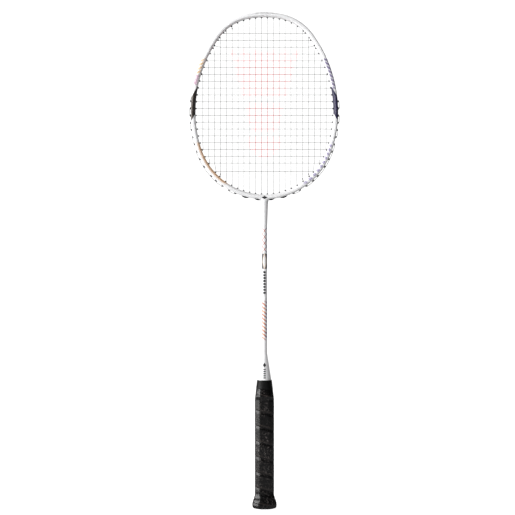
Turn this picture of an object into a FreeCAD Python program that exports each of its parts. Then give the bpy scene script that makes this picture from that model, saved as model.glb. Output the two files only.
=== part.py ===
import FreeCAD
import Part
import math
import os

# A badminton racket. +Z runs up the shaft to the head, X is the head's width and Y its depth.
# The origin is the middle of the butt's flat end face. All sizes are in millimetres.

# ---------------------------------------------------------------- driving dimensions

# Whole racket and head outline; the outline's radii are those of the tube's centreline.
overall_length = 675.0
head_width = 200.5
head_length = 254.0
widest_fraction = 0.533      # how far down the head its widest level lies
crown_radius = 116.85        # arc across the top
crown_half_angle = 10.7
shoulder_radius = 67.5       # arc between the crown and each side
bottom_inset = 3.5           # how much smaller the bottom arc's radius is than the half width

# Hoop tube, a box section with bevelled shoulders and a string groove outside.
hoop_width = 6.5
hoop_depth = 10.2
hoop_wall = 1.0
inner_flat = 5.0             # flat of the face towards the strings
inner_bevel = 2.25
outer_bevel = 1.6
outer_bevel_depth = 1.5
edge_radius = 1.1
wall_corner = 0.3            # inside corners of the cavity and the shallow groove
deep_groove_corner = 0.6
groove_width = 5.0
deep_groove = 1.8            # round the top of the head
shallow_groove = 0.6         # round the lower half
groove_row = 10              # crosses are numbered from 0 at the top
groove_step = 0.35           # deep groove ends this share of a row above that cross

# String bed.
string_diameter = 0.68
columns_per_side = 11
row_count = 21
side_gap = 9.85              # outermost main to the hoop's inner face
top_gap = 22.2               # hoop's inner face to the first cross
bottom_gap = 31.2
last_row_stretch = 1.23      # the last gap between crosses over a usual one
weave_room = 0.05
lane_gap = 0.04              # between two strings side by side in a hole
weave_radius = 10.0
mouth_radius = 1.2           # bend where a string leaves a grommet
corner_radius = 1.0          # bend where a string turns into the groove
knot_turns = 2.5
knot_start = 1.2             # first turn along the main it holds
knot_gap = 0.08
own_top_holes = 9            # mains with a hole of their own at the top, each side
own_bottom_holes = 8
twin_columns = 4             # mains each side whose bottom holes are in twin grommets
cross_start_column = 6       # top main hole, left, where the cross string is tied
cross_end_column = 7         # bottom main hole, right, where it ends

# Grommets.
bore_room = 0.08
wide_bore_extra = 0.2        # more radius where two strings share a hole
barrel_wall = 0.4
barrel_overhang = 1.3
hole_gap = 0.05
flange_lip = 0.6
flange_thickness = 0.5
raised_flange = 2.0          # total height where the groove is shallow, domed above the flange
raised_lip = 0.35            # rim round the bore at the dome's top
flange_spacing = 0.3
string_seat_gap = 0.08
turn_standoff = 0.6          # string's bend to the barrel's end
twin_end = 1.4
twin_height = 2.4
twin_width = 4.4
twin_slot = 2.0

# Throat and shaft.
shaft_diameter = 7.0
shaft_wall = 1.25
glue_gap = 0.05
neck_diameter = 3.6
arm_length = 17.0            # each arm of the joint inside the hoop
spigot_length = 30.0
throat_length = 35.0
throat_width = 9.6
throat_depth = 9.8
throat_step = 0.2            # throat's lower lip over the shaft
throat_fillet = 5.0
fillet_sweep = 80.0          # how far round the fillet under the hoop goes
shaft_cover = 13.0           # solid throat between the shaft's end and the hoop
notch_room = 0.2
notch_run_out = 5.0          # degrees that the notch goes on past its grommet
foot_sweep = 30.0            # degrees each side of the middle that the throat is cut to fit

# Handle.
handle_length = 153.0        # top of the octagonal part
core_width = 22.5
core_depth = 19.1
core_bevel = 5.6
core_corner = 0.3
shaft_depth = 95.0           # shaft inside the octagonal part
relief_diameter = 10.0
relief_stop = 6.0            # wood left between the relief and the shaft's end
nose_diameter = 15.8
nose_length = 17.0
cone_top = 210.0
cone_visible_bottom = 175.0
cone_lip = 0.25
cone_seat_diameter = 18.8    # where the grip's end tape stops
cone_base_diameter = 21.2
butt_width = 29.8
butt_depth = 26.2
butt_level = 8.0
butt_flare_top = 22.0
butt_tuck = 0.6              # share of the flare that the end face draws back in
butt_floor = 3.0
butt_lip = 0.6
butt_edge = 1.9
badge_diameter = 16.0
badge_thickness = 0.6
badge_recess = 0.2
grip_thickness = 1.7
grip_edge = 0.8              # grip's lower edge over the end face
grip_edge_inset = 0.8        # thinning of the grip at that edge
grip_top_thickness = 0.35
grip_corner = 2.5
tape_length = 12.0
tape_thickness = 0.25
tape_overlap = 2.0
staple_wire = 0.7
staple_width = 9.0
staple_leg = 8.0

# ---------------------------------------------------------------- head outline

half_width = (head_width - hoop_width) / 2
hoop_half = hoop_width / 2
top_level = overall_length - hoop_half
bottom_level = overall_length - head_length + hoop_half
widest_level = overall_length - head_length * widest_fraction
bottom_radius = half_width - bottom_inset


def side_radius(centre_x, rise, radius):
    """Radius of the side arc that meets an arc of this radius and ends upright at the widest level."""
    reach = half_width - centre_x
    return (reach ** 2 + rise ** 2 - radius ** 2) / (2 * (reach - radius))


def right_half_arcs():
    """Tangent arcs up the right side: centre x, centre z, radius, first and last normal angle."""
    crown_tilt = math.radians(crown_half_angle)
    crown_z = top_level - crown_radius
    shoulder_x = (crown_radius - shoulder_radius) * math.sin(crown_tilt)
    shoulder_z = crown_z + (crown_radius - shoulder_radius) * math.cos(crown_tilt)
    bottom_z = bottom_level + bottom_radius
    upper = side_radius(shoulder_x, shoulder_z - widest_level, shoulder_radius)
    lower = side_radius(0, widest_level - bottom_z, bottom_radius)
    upper_x = half_width - upper
    lower_x = half_width - lower
    upper_end = math.degrees(math.atan2(shoulder_z - widest_level, shoulder_x - upper_x))
    lower_end = math.degrees(math.atan2(bottom_z - widest_level, -lower_x))
    crown_start = 90 - crown_half_angle
    return [
        (0, bottom_z, bottom_radius, -90, lower_end),
        (lower_x, widest_level, lower, lower_end, 0),
        (upper_x, widest_level, upper, 0, upper_end),
        (shoulder_x, shoulder_z, shoulder_radius, upper_end, crown_start),
        (0, crown_z, crown_radius, crown_start, 90),
    ]


arcs = right_half_arcs()


def outline(angle, offset):
    """Point x, z on the right half, this far outside the centreline, by its normal angle."""
    for x, z, radius, first, last in arcs:
        if angle <= last:
            break
    reach = radius + offset
    return x + reach * math.cos(math.radians(angle)), z + reach * math.sin(math.radians(angle))


def angle_at_x(x, offset, upper):
    """Normal angle where the outline's upper or lower part has this x."""
    inside, outside = (90, 0) if upper else (-90, 0)
    for _ in range(50):
        middle = (inside + outside) / 2
        if outline(middle, offset)[0] < x:
            inside = middle
        else:
            outside = middle
    return middle


def angle_at_z(z, offset):
    low, high = -90, 90
    for _ in range(50):
        middle = (low + high) / 2
        if outline(middle, offset)[1] < z:
            low = middle
        else:
            high = middle
    return middle


def distance_along(angle):
    """Length of the centreline from the bottom up to this normal angle."""
    total = 0
    for _, _, radius, first, last in arcs:
        if angle > first:
            total += radius * math.radians(min(angle, last) - first)
    return total


def angle_along(distance):
    low, high = -90, 90
    for _ in range(50):
        middle = (low + high) / 2
        if distance_along(middle) < distance:
            low = middle
        else:
            high = middle
    return middle


def whole_loop():
    """The eight arcs once round the head, from the bottom, with mirrored ones on the left."""
    loop = []
    for x, z, radius, first, last in arcs:
        loop.append((x, z, radius, first, last))
    for x, z, radius, first, last in reversed(arcs):
        loop.append((-x, z, radius, 180 - last, 180 - first))
    return loop


# ---------------------------------------------------------------- shape helpers

def vector(x, y, z):
    return FreeCAD.Vector(x, y, z)


def rounded_edges(points, radii):
    """Straight runs joined by tangent arcs; each arc is limited by its two runs."""
    edges = []
    start = points[0]
    for before, corner, after, radius in zip(points, points[1:], points[2:], radii[1:]):
        into = (corner - before).normalize()
        out = (after - corner).normalize()
        half_turn = into.getAngle(out) / 2
        if half_turn < 1e-5:
            continue
        room = 0.45 * min((corner - before).Length, (after - corner).Length)
        radius = min(radius, room / math.tan(half_turn))
        cut = radius * math.tan(half_turn)
        inward = (out - into).normalize()
        centre = corner + inward * (radius / math.cos(half_turn))
        arc_start = corner - into * cut
        arc_end = corner + out * cut
        edges.append(Part.LineSegment(start, arc_start).toShape())
        edges.append(Part.Arc(arc_start, centre - inward * radius, arc_end).toShape())
        start = arc_end
    edges.append(Part.LineSegment(start, points[-1]).toShape())
    return edges


def closed_wire(points, radii):
    """A closed outline with a rounded corner at each point that has a radius."""
    middle = (points[-1] + points[0]) * 0.5
    edges = rounded_edges([middle] + points + [middle], [0] + [max(r, 0.01) for r in radii] + [0])
    return Part.Wire(edges)


def tube_along(points, radii, diameter):
    """A round string along a path of straight runs and arcs."""
    path = Part.Wire(rounded_edges(points, radii))
    start = points[0]
    section = Part.Wire([Part.makeCircle(diameter / 2, start, points[1] - start)])
    return path.makePipeShell([section], True, False)


def sweep_round_head(section, radii, first, last):
    """A section of (offset, y) points swept round the head between two normal angles."""
    pieces = []
    for x, z, radius, arc_first, arc_last in whole_loop():
        for turn in (-360, 0, 360):
            start = max(first, arc_first + turn)
            end = min(last, arc_last + turn)
            if end - start < 0.001:
                continue
            cosine = math.cos(math.radians(start))
            sine = math.sin(math.radians(start))
            points = []
            for offset, y in section:
                reach = radius + offset
                points.append(vector(x + reach * cosine, y, z + reach * sine))
            face = Part.Face(closed_wire(points, radii))
            pieces.append(face.revolve(vector(x, 0, z), vector(0, -1, 0), end - start))
    if len(pieces) == 1:
        return pieces[0]
    return pieces[0].multiFuse(pieces[1:]).Solids[0]


def mirrored_section(half):
    """A full section from its points at y above zero."""
    return half + [(offset, -y) for offset, y in reversed(half)]


def cylinder(radius, bottom, top):
    return Part.makeCylinder(radius, top - bottom, vector(0, 0, bottom))


def octagon(width, depth, bevel, z, corner):
    """A handle section: a rectangle with bevelled and then rounded corners."""
    points = []
    for x_sign, y_sign in ((1, 1), (-1, 1), (-1, -1), (1, -1)):
        side = vector(x_sign * width / 2, y_sign * (depth / 2 - bevel), z)
        face = vector(x_sign * (width / 2 - bevel), y_sign * depth / 2, z)
        points += [side, face] if x_sign == y_sign else [face, side]
    return closed_wire(points, [corner] * 8)


def loft(sections, ruled=False):
    return Part.makeLoft(sections, True, ruled)


def export(name, shape):
    shape.exportStep("parts/" + name + ".step")


# ---------------------------------------------------------------- string holes

string_radius = string_diameter / 2
weave = string_radius + weave_room
lane = string_radius + lane_gap / 2
outer_lane = lane + string_diameter + lane_gap
single_bore = lane + string_radius + bore_room
wide_bore = single_bore + wide_bore_extra
turn_offset = -(hoop_half + barrel_overhang + turn_standoff)
inner_half_width = head_width / 2 - hoop_width
main_pitch = (inner_half_width - side_gap) / (columns_per_side - 0.5)
first_row = overall_length - hoop_width - top_gap
last_row = overall_length - head_length + hoop_width + bottom_gap
row_pitch = (first_row - last_row) / (row_count - 2 + last_row_stretch)


def row_level(row):
    if row == row_count - 1:
        return last_row
    return first_row - row * row_pitch


groove_end = angle_at_z(row_level(groove_row) + groove_step * row_pitch, 0)


class Hole:
    """A string hole: side (-1 left, +1 right), normal angle, node of its grommet, wide or not."""

    def __init__(self, side, angle, group):
        self.side = side
        self.angle = angle
        self.group = group
        self.wide = False

    def point(self, offset, y):
        x, z = outline(self.angle, offset)
        return vector(self.side * x, y, z)

    def direction(self):
        turn = math.radians(self.angle)
        return vector(self.side * math.cos(turn), 0, math.sin(turn))

    def floor(self):
        """Offset of the groove's floor here."""
        depth = deep_groove if self.angle > groove_end else shallow_groove
        return hoop_half - depth

    def seat(self):
        """Offset of the face that the string bends over: raised where the groove is shallow."""
        raised = self.angle <= groove_end and self.group != "grommets_twin"
        return self.floor() + (raised_flange if raised else flange_thickness)

    def string_offset(self):
        """Offset of a string that lies in the groove here."""
        return self.seat() + string_seat_gap + string_radius

    def bore(self):
        return wide_bore if self.wide else single_bore

    def cylinder(self, radius, first, last):
        start = self.point(first, 0)
        return Part.makeCylinder(radius, last - first, start, self.direction())


def spread(angles):
    """Moves neighbouring holes apart along the hoop until their flanges clear each other."""
    needed = 2 * (wide_bore + barrel_wall + flange_lip) + flange_spacing
    order = sorted(angles, key=angles.get)
    place = {name: distance_along(angles[name]) for name in order}
    for _ in range(200):
        for name, after in zip(order, order[1:]):
            missing = needed - (place[after] - place[name])
            if missing > 0:
                place[name] -= missing / 2
                place[after] += missing / 2
    return {name: angle_along(place[name]) for name in order}


def hole_angles():
    """Normal angles of one side's own holes, by name, and the row whose hole each outer main shares."""
    angles = {}
    for row in range(row_count):
        angles["row", row] = angle_at_z(row_level(row), turn_offset)
    shared = {}
    for end, own in (("top", own_top_holes), ("bottom", own_bottom_holes)):
        for column in range(1, columns_per_side + 1):
            angle = angle_at_x((column - 0.5) * main_pitch, turn_offset, end == "top")
            if column <= own:
                angles[end, column] = angle
                continue
            free = [row for row in range(row_count) if row not in shared.values()]
            shared[end, column] = min(free, key=lambda row: abs(angles["row", row] - angle))
    return spread(angles), shared


def row_group(row, side):
    part = "upper" if row < groove_row else "lower"
    return "grommets_" + part + ("_right" if side > 0 else "_left")


def main_group(end, column):
    if end == "top":
        return "grommets_top"
    return "grommets_twin" if column <= twin_columns else "grommets_throat"


def make_holes():
    angles, shared = hole_angles()
    holes = {}
    for side in (-1, 1):
        for (kind, number), angle in angles.items():
            group = row_group(number, side) if kind == "row" else main_group(kind, number)
            holes[side, kind, number] = Hole(side, angle, group)
        for (end, column), row in shared.items():
            hole = holes[side, "row", row]
            hole.wide = True
            hole.group = "grommets_shared"
            holes[side, end, column] = hole
    return holes


holes = make_holes()
cross_start = holes[-1, "top", cross_start_column]
cross_end = holes[1, "bottom", cross_end_column]
main_ends = {side: holes[side, "bottom", own_bottom_holes] for side in (-1, 1)}
for hole in (cross_start, cross_end, main_ends[-1], main_ends[1]):
    hole.wide = True
all_holes = list(dict.fromkeys(holes.values()))

# ---------------------------------------------------------------- strings

free_radius = 400.0          # arcs along the groove are limited by their runs alone


def column_number(side, column):
    """Mains are numbered 0 to 21 from the left."""
    return columns_per_side + column - 1 if side > 0 else columns_per_side - column


def weave_side(side, column, row):
    """+1 where the main passes behind the cross, -1 where it passes in front."""
    return 1 if (column_number(side, column) + row) % 2 == 0 else -1


def they_cross(side, column, row):
    x = (column - 0.5) * main_pitch
    level = row_level(row)
    top = holes[side, "top", column].point(turn_offset, 0).z
    bottom = holes[side, "bottom", column].point(turn_offset, 0).z
    end = abs(holes[side, "row", row].point(turn_offset, 0).x)
    return bottom + 0.5 < level < top - 0.5 and x < end - 0.5


def main_run(side, column):
    """A main's points down the bed, from its top hole to its bottom hole, with their radii."""
    x = side * (column - 0.5) * main_pitch
    points = [(holes[side, "top", column].point(turn_offset, -lane), mouth_radius)]
    for row in range(row_count):
        if they_cross(side, column, row):
            y = weave * weave_side(side, column, row)
            points.append((vector(x, y, row_level(row)), weave_radius))
    points.append((holes[side, "bottom", column].point(turn_offset, -lane), mouth_radius))
    return points


def cross_run(row):
    """A cross's points from its left hole to its right hole, with their radii."""
    points = [(holes[-1, "row", row].point(turn_offset, lane), mouth_radius)]
    for side in (-1, 1):
        columns = range(1, columns_per_side + 1)
        for column in (reversed(columns) if side < 0 else columns):
            if they_cross(side, column, row):
                x = side * (column - 0.5) * main_pitch
                y = -weave * weave_side(side, column, row)
                points.append((vector(x, y, row_level(row)), weave_radius))
    points.append((holes[1, "row", row].point(turn_offset, lane), mouth_radius))
    return points


def groove_run(start, end, y, middle_y):
    """Outside the hoop from one hole to another: corner, bends along the groove, corner."""
    points = [(start.point(start.string_offset(), y), corner_radius)]
    if start.side == end.side:
        first = distance_along(start.angle)
        last = distance_along(end.angle)
        count = max(1, round(abs(last - first) / row_pitch))
        for step in range(1, count):
            share = step / count
            offset = start.string_offset() * (1 - share) + end.string_offset() * share
            x, z = outline(angle_along(first + (last - first) * share), offset)
            points.append((vector(start.side * x, middle_y, z), free_radius))
    points.append((end.point(end.string_offset(), y), corner_radius))
    return points


def knot(hole, run):
    """Turns of a string's end round the main beside it, just inside its hole."""
    first = run[0][0]
    along = (run[1][0] - first).normalize()
    reach = string_diameter + knot_gap
    across = vector(0, 1, 0)
    sideways = along.cross(across).normalize()
    steps = int(knot_turns * 8)
    points = [(hole.point(turn_offset, lane), mouth_radius)]
    for step in range(steps + 1):
        turn = math.tau * step / 8
        centre = first + along * (knot_start + step / 8 * reach)
        swing = across * math.cos(turn) + sideways * math.sin(turn)
        points.append((centre + swing * reach, corner_radius))
    return points


def half_main_string(side):
    """One half of the mains, from the middle of the head to its knot."""
    points = []
    for column in range(1, columns_per_side + 1):
        run = main_run(side, column)
        ends = ["bottom", "top"] if column % 2 else ["top", "bottom"]
        points += run if column % 2 else reversed(run)
        if column < columns_per_side:
            leave = holes[side, ends[0], column]
            enter = holes[side, ends[0], column + 1]
            points += groove_run(leave, enter, -lane, -lane)
    leave = holes[side, "bottom", columns_per_side]
    tie = main_ends[side]
    outside = groove_run(leave, tie, -lane, -outer_lane)
    outside[-1] = (tie.point(tie.string_offset(), lane), corner_radius)
    points += outside
    points += knot(tie, list(reversed(main_run(side, own_bottom_holes))))
    return points


def main_string():
    left = half_main_string(-1)
    right = half_main_string(1)
    over_top = groove_run(holes[-1, "top", 1], holes[1, "top", 1], -lane, -lane)
    route = list(reversed(left)) + over_top + right
    return tube_along([p for p, _ in route], [r for _, r in route], string_diameter)


def cross_string():
    first = holes[-1, "row", 0]
    route = list(reversed(knot(cross_start, main_run(-1, cross_start_column))))
    route += groove_run(cross_start, first, lane, lane)
    for row in range(row_count):
        run = cross_run(row)
        side = 1 if row % 2 == 0 else -1
        route += run if side > 0 else reversed(run)
        if row < row_count - 1:
            route += groove_run(holes[side, "row", row], holes[side, "row", row + 1], lane, lane)
    last = holes[1, "row", row_count - 1]
    route += groove_run(last, cross_end, lane, outer_lane)
    route += knot(cross_end, list(reversed(main_run(1, cross_end_column))))
    return tube_along([p for p, _ in route], [r for _, r in route], string_diameter)


# ---------------------------------------------------------------- grommets

def grommet(hole):
    """A barrel through the hoop with a round flange on the groove's floor, domed where raised."""
    radius = hole.bore() + barrel_wall
    tip = -(hoop_half + barrel_overhang)
    rim = hole.floor() + flange_thickness
    rise = hole.seat() - rim
    shape = hole.cylinder(radius, tip, hole.floor() + flange_thickness / 2)
    shape = shape.fuse(hole.cylinder(radius + flange_lip, hole.floor(), rim))
    if rise > 0:
        top_radius = hole.bore() + raised_lip
        dome = Part.makeCone(radius + flange_lip, top_radius, rise, hole.point(rim, 0), hole.direction())
        shape = shape.fuse(dome)
    return shape.cut(hole.cylinder(hole.bore(), tip - 1, hole.seat() + 1))


def groove_piece(side, first, last, low, high, width):
    """A block round part of the hoop on one side, between two offsets, as wide as given in Y."""
    section = [(low, width / 2), (high, width / 2), (high, -width / 2), (low, -width / 2)]
    block = sweep_round_head(section, [0] * 4, first, last)
    if side < 0:
        block = block.mirror(vector(0, 0, 0), vector(1, 0, 0))
    return block


def twin_span(pair):
    """Normal angles of a twin grommet's two ends."""
    first = angle_along(distance_along(pair[0].angle) - twin_end)
    last = angle_along(distance_along(pair[1].angle) + twin_end)
    return first, last


def twin_grommet(pair):
    """Two barrels under one lens-shaped seat with a slot for the string between them."""
    first, last = twin_span(pair)
    side = pair[0].side
    floor = pair[0].floor()
    middle = (first + last) / 2

    def at(angle, offset):
        x, z = outline(angle, offset)
        return vector(side * x, -twin_width / 2, z)

    under = Part.Arc(at(first, floor), at(middle, floor), at(last, floor)).toShape()
    over = Part.Arc(at(last, floor), at(middle, floor + twin_height), at(first, floor)).toShape()
    seat = Part.Face(Part.Wire([under, over])).extrude(vector(0, twin_width, 0))
    low = floor + flange_thickness
    seat = seat.cut(groove_piece(side, first - 1, last + 1, low, low + twin_height, twin_slot))
    for hole in pair:
        radius = hole.bore() + barrel_wall
        barrel = hole.cylinder(radius, -(hoop_half + barrel_overhang), floor + flange_thickness / 2)
        seat = seat.fuse(barrel)
    for hole in pair:
        seat = seat.cut(hole.cylinder(hole.bore(), -hoop_width, hoop_width))
    return seat


def twin_pairs():
    pairs = []
    for side in (-1, 1):
        for column in range(1, twin_columns, 2):
            pairs.append([holes[side, "bottom", column], holes[side, "bottom", column + 1]])
    return pairs


def grommet_groups():
    """Every grommet, gathered by node."""
    groups = {}
    for hole in all_holes:
        if hole.group != "grommets_twin":
            groups.setdefault(hole.group, []).append(grommet(hole))
    groups["grommets_twin"] = [twin_grommet(pair) for pair in twin_pairs()]
    return groups


# ---------------------------------------------------------------- hoop, throat and shaft

def drills():
    """Cutters for every string hole."""
    tools = []
    for hole in all_holes:
        radius = hole.bore() + barrel_wall + hole_gap
        tools.append(hole.cylinder(radius, -hoop_width, hoop_width))
    return tools


def hoop_section():
    half = [
        (-hoop_half, inner_flat / 2),
        (-hoop_half + inner_bevel, hoop_depth / 2),
        (hoop_half - outer_bevel, hoop_depth / 2),
        (hoop_half, hoop_depth / 2 - outer_bevel_depth),
    ]
    return mirrored_section(half)


def cavity_section(gap):
    """Hollow inside the hoop, or what fits in it with a gap."""
    low = -hoop_half + hoop_wall + gap
    high = hoop_half - deep_groove - hoop_wall - gap
    deep = hoop_depth / 2 - hoop_wall - gap
    half = [
        (low, inner_flat / 2 - hoop_wall / 2),
        (low + inner_bevel / 2, deep),
        (high, deep),
    ]
    return mirrored_section(half)


def groove_cutter(depth, corner, first, last):
    """What the string groove takes off the hoop's outside between two normal angles."""
    low = hoop_half - depth
    high = hoop_half + 1
    section = mirrored_section([(low, groove_width / 2), (high, groove_width / 2)])
    return sweep_round_head(section, [corner, 0, 0, corner], first, last)


hoop_bottom = bottom_level - hoop_half
shaft_top = hoop_bottom - shaft_cover
shaft_bore = shaft_diameter - 2 * shaft_wall
neck_hole = neck_diameter / 2 + glue_gap


def frame_hoop():
    """The hollow tube round the head, grooved outside and drilled for the grommets."""
    hoop = sweep_round_head(hoop_section(), [edge_radius] * 8, -90, 270)
    hoop = hoop.cut(sweep_round_head(cavity_section(0), [wall_corner] * 6, -90, 270))
    hoop = hoop.cut(groove_cutter(shallow_groove, wall_corner, -90, 270))
    hoop = hoop.cut(groove_cutter(deep_groove, deep_groove_corner, groove_end, 180 - groove_end))
    neck = cylinder(neck_hole, hoop_bottom - 1, bottom_level)
    return hoop.cut(drills() + [neck])


def t_joint():
    """A tee inside the frame: arms in the hoop, a neck through its wall and a spigot in the shaft."""
    swing = math.degrees(arm_length / bottom_radius)
    arms = sweep_round_head(cavity_section(glue_gap), [wall_corner] * 6, 270 - swing, 270 + swing)
    neck = cylinder(neck_diameter / 2, shaft_top, bottom_level)
    spigot = cylinder(shaft_bore / 2 - glue_gap, shaft_top - spigot_length, shaft_top)
    return arms.multiFuse([neck, spigot]).cut(drills()).removeSplitter()


def oval(half_width, half_depth, z):
    """A smooth closed section through points of an ellipse."""
    points = []
    for step in range(24):
        turn = math.tau * step / 24
        points.append(vector(half_width * math.cos(turn), half_depth * math.sin(turn), z))
    curve = Part.BSplineCurve()
    curve.interpolate(Points=points, PeriodicFlag=True)
    return Part.Wire([curve.toShape()])


def throat_blank():
    """A taper up from the shaft, then a fillet that flares out under the hoop."""
    low = hoop_bottom - throat_length
    fillet_start = hoop_bottom - throat_fillet
    lip = shaft_diameter / 2 + throat_step
    taper = []
    for step in range(4):
        share = step / 3
        wide = lip + (throat_width / 2 - lip) * share
        deep = lip + (throat_depth / 2 - lip) * share
        taper.append(oval(wide, deep, low + (fillet_start - low) * share))
    flare = []
    for step in range(6):
        tilt = math.radians(fillet_sweep * step / 5)
        wide = throat_width / 2 + throat_fillet * (1 - math.cos(tilt))
        flare.append(oval(wide, throat_depth / 2, fillet_start + throat_fillet * math.sin(tilt)))
    top = Part.Face(flare[-1]).extrude(vector(0, 0, hoop_half))
    return loft(taper).multiFuse([loft(flare), top])


def throat_shell():
    """The moulded throat outside the tee, notched for the twin grommets beside it."""
    shell = throat_blank().cut(hoop_foot())
    shell = shell.cut(cylinder(shaft_diameter / 2 + glue_gap, hoop_bottom - throat_length - 1, shaft_top))
    shell = shell.cut(cylinder(neck_hole, shaft_top - 1, bottom_level))
    for pair in twin_pairs():
        first, last = twin_span(pair)
        inner = angle_along(distance_along(first) - notch_room)
        high = pair[0].floor() + twin_height + notch_room
        low = pair[0].floor() - notch_room
        notch = groove_piece(pair[0].side, inner, last + notch_run_out, low, high, groove_width)
        shell = shell.cut(notch)
    return shell


def hoop_foot():
    """Bottom of the hoop without its holes, which the throat fits under."""
    first = 270 - foot_sweep
    last = 270 + foot_sweep
    hoop = sweep_round_head(hoop_section(), [edge_radius] * 8, first, last)
    return hoop.cut(groove_cutter(shallow_groove, wall_corner, first - 1, last + 1))


shaft_bottom = handle_length - shaft_depth


def shaft():
    outside = cylinder(shaft_diameter / 2, shaft_bottom, shaft_top)
    return outside.cut(cylinder(shaft_bore / 2, shaft_bottom - 1, shaft_top + 1))


# ---------------------------------------------------------------- handle

def cone_cap():
    """A tapered collar over the handle's nose, closed round the shaft."""
    bore = shaft_diameter / 2 + glue_gap
    seat = nose_diameter / 2 + glue_gap
    profile = [
        vector(bore, 0, cone_top),
        vector(bore + cone_lip, 0, cone_top),
        vector(cone_seat_diameter / 2, 0, cone_visible_bottom),
        vector(cone_base_diameter / 2, 0, handle_length),
        vector(seat, 0, handle_length),
        vector(seat, 0, handle_length + nose_length + glue_gap),
        vector(bore, 0, handle_length + nose_length + glue_gap),
    ]
    return Part.Face(Part.makePolygon(profile + profile[:1])).revolve(vector(0, 0, 0), vector(0, 0, 1), 360)


def core_octagon(growth, z):
    width = core_width + 2 * growth
    return octagon(width, core_depth + 2 * growth, core_bevel, z, core_corner)


def handle_core_blank():
    """The core's octagon without its nose and bores."""
    return loft([core_octagon(0, butt_floor), core_octagon(0, handle_length)], True)


def handle_core():
    """Wooden octagon with a round nose, bored for the shaft above and relieved below."""
    nose = cylinder(nose_diameter / 2, handle_length - 1, handle_length + nose_length)
    body = handle_core_blank().fuse(nose)
    body = body.cut(cylinder(shaft_diameter / 2 + glue_gap, shaft_bottom, handle_length + nose_length + 1))
    body = body.cut(cylinder(relief_diameter / 2, butt_floor - 1, shaft_bottom - relief_stop))
    return body.cut(staple_group(all_staple_places, glue_gap))


def flare_size(z):
    """Width and depth of the bare butt at a level."""
    if z >= butt_level:
        share = 0.5 + 0.5 * math.cos(math.pi * (z - butt_level) / (butt_flare_top - butt_level))
    else:
        share = 1 - butt_tuck * ((butt_level - z) / butt_level) ** 2
    thin_width = core_width + 2 * butt_lip
    thin_depth = core_depth + 2 * butt_lip
    width = thin_width + (butt_width - thin_width) * share
    depth = thin_depth + (butt_depth - thin_depth) * share
    return width, depth


def flare_section(z, growth):
    width, depth = flare_size(z)
    bevel = core_bevel * width / core_width
    return octagon(width + 2 * growth, depth + 2 * growth, bevel, z, grip_corner)


def levels(low, high, steps):
    return [low + (high - low) * step / steps for step in range(steps + 1)]


def butt_levels(bottom):
    """Levels of the sections that shape the flare."""
    return [bottom, butt_level / 2] + levels(butt_level, butt_flare_top, 5)


def butt_solid():
    """The cap's outside, with its lower edge bevelled."""
    body = loft([flare_section(z, 0) for z in butt_levels(butt_edge)])
    foot = loft([flare_section(0, -butt_edge), flare_section(butt_edge, 0)], True)
    return body.fuse(foot)


def butt_cap():
    """Flared cap over the core's lower end, with a round recess for the badge."""
    cap = butt_solid()
    cap = cap.cut(loft([core_octagon(glue_gap, butt_floor), core_octagon(glue_gap, butt_flare_top + 1)], True))
    recess = badge_thickness + badge_recess
    cap = cap.cut(cylinder(badge_diameter / 2 + glue_gap, -1, recess))
    return cap.cut(staple_group(all_staple_places, glue_gap))


def butt_badge():
    return cylinder(badge_diameter / 2, badge_recess, badge_recess + badge_thickness)


def staple(turn, face_distance, gap):
    """A wire staple driven in flat at the butt's widest level, its crown on the surface."""
    wire = staple_wire + 2 * gap
    half = staple_width / 2 + gap
    front = -face_distance - staple_wire - gap
    low = butt_level - wire / 2
    crown = Part.makeBox(2 * half, wire, wire, vector(-half, front, low))
    reach = staple_leg + 2 * gap
    legs = [Part.makeBox(wire, reach, wire, vector(x, front, low)) for x in (-half, half - wire)]
    shape = crown.multiFuse(legs).removeSplitter()
    shape.rotate(vector(0, 0, 0), vector(0, 0, 1), turn)
    return shape


cap_staple_places = [(0, butt_depth / 2), (180, butt_depth / 2)]
grip_staple_places = [(90, butt_width / 2)]
all_staple_places = cap_staple_places + grip_staple_places


def staple_group(places, gap):
    return [staple(turn, distance, gap) for turn, distance in places]


grip_end = cone_visible_bottom - tape_overlap


def upper_grip_section(z, growth):
    """Grip sections above the octagonal handle, turning round as they meet the cone."""
    share = (z - handle_length) / (cone_visible_bottom - handle_length)
    thickness = grip_thickness + (grip_top_thickness - grip_thickness) * share
    cone = cone_base_diameter + (cone_seat_diameter - cone_base_diameter) * share
    width = core_width + (cone - core_width) * share
    depth = core_depth + (cone - core_depth) * share
    bevel = core_bevel + (cone * 0.25 - core_bevel) * share
    corner = grip_corner + (cone * 0.42 - grip_corner) * share
    grown = 2 * (thickness + growth)
    return octagon(max(width, cone) + grown, max(depth, cone) + grown, bevel, z, corner)


def grip_outside():
    """Outside of the wrapped grip: butt flare, straight handle and the taper to the cone."""
    lower_edge = flare_section(grip_edge, grip_thickness - grip_edge_inset)
    flare = loft([lower_edge] + [flare_section(z, grip_thickness) for z in butt_levels(butt_edge)])
    top_of_flare = flare_section(butt_flare_top, grip_thickness)
    straight = loft([top_of_flare, upper_grip_section(handle_length, 0)], True)
    upper = loft([upper_grip_section(z, 0) for z in levels(handle_length, grip_end, 4)])
    return flare.multiFuse([straight, upper])


def grip_wrap():
    """The grip as one sleeve over the cap, the core and the foot of the cone."""
    sleeve = grip_outside()
    inside = [butt_solid(), handle_core_blank(), cone_blank()]
    sleeve = sleeve.cut(inside)
    return sleeve.cut(staple_group(all_staple_places, glue_gap))


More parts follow.
